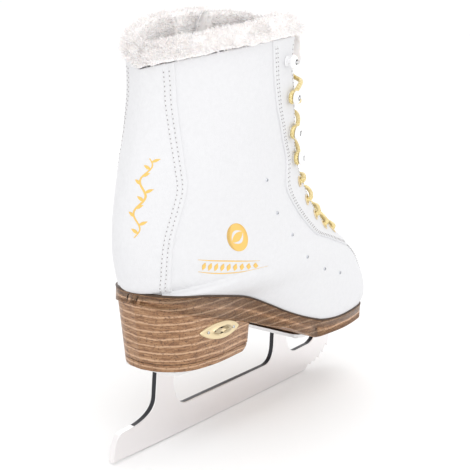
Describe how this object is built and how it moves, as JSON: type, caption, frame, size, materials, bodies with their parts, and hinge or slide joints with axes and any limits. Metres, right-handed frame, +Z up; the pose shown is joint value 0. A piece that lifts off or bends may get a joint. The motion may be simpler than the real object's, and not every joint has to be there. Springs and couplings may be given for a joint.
{
  "type": "figure skate",
  "caption": "Right figure skate: laced white boot with fur collar and padded tongue, stacked heel and sole, and a screwed-on steel blade with a toe pick.",
  "frame": {"origin": "centre of the blade's rest facet, on the surface the skate stands on", "axes": "+X to the toe, +Y to the skater's left (the inner side of this right foot), +Z up"},
  "size_m": [0.2738, 0.099, 0.2809],
  "materials": {
    "steel": "ground and polished",
    "plated": "zinc plated",
    "dark_edge": "dark stained edge",
    "stacked_sole": "stacked, brown stained",
    "board": "pressed fibre board",
    "lining_cloth": "brushed cloth",
    "fur": "long pile",
    "gold_metal": "pale gold plate",
    "white_enamel": "gloss enamel",
    "gold_lace": "braided with metallic thread",
    "white_leather": "fine grain"
  },
  "bodies": {
    "boot": {"ankle_padding": "lining_cloth", "back_panel": "white_leather", "badge": "gold_metal", "badge_rivet_front": "gold_metal", "badge_rivet_rear": "gold_metal", "blade": "steel", "eyelet_lateral_1": "gold_metal", "eyelet_lateral_2": "gold_metal", "eyelet_lateral_3": "gold_metal", "eyelet_lateral_4": "gold_metal", "eyelet_lateral_5": "gold_metal", "eyelet_medial_1": "gold_metal", "eyelet_medial_2": "gold_metal", "eyelet_medial_3": "gold_metal", "eyelet_medial_4": "gold_metal", "eyelet_medial_5": "gold_metal", "facing_lateral": "white_leather", "facing_medial": "white_leather", "fur_collar": "fur", "heel_block": "stacked_sole", "heel_counter": "board", "heel_plate": "plated", "heel_screw_1": "plated", "heel_screw_2": "plated", "heel_screw_3": "plated", "heel_screw_4": "plated", "heel_top_lift": "dark_edge", "hook_lateral_1": "white_enamel", "hook_lateral_2": "white_enamel", "hook_lateral_3": "white_enamel", "hook_lateral_4": "white_enamel", "hook_medial_1": "white_enamel", "hook_medial_2": "white_enamel", "hook_medial_3": "white_enamel", "hook_medial_4": "white_enamel", "insole_board": "board", "lace": "gold_lace", "lining": "lining_cloth", "outsole": "stacked_sole", "quarter_lateral": "white_leather", "quarter_medial": "white_leather", "shank": "plated", "sole_plate": "plated", "sole_screw_1": "plated", "sole_screw_2": "plated", "sole_screw_3": "plated", "sole_screw_4": "plated", "sole_screw_5": "plated", "sole_screw_6": "plated", "toe_puff": "board", "vamp": "white_leather", "welt": "dark_edge"},
    "tongue": {"tongue": "white_leather", "tongue_pad": "fur"},
    "footbed": {"footbed": "lining_cloth"}
  },
  "joints": [
    {"name": "tongue_hinge", "type": "hinge", "parent": "boot", "child": "tongue", "pos_m": [0.118, 0, 0.105], "axis": [0, 1, 0], "range_deg": [-6, 0]},
    {"name": "footbed_lift", "type": "hinge", "parent": "boot", "child": "footbed", "pos_m": [0.1272, 0.005, 0.0632], "axis": [0, 1, 0], "range_deg": [0, 8]}
  ]
}
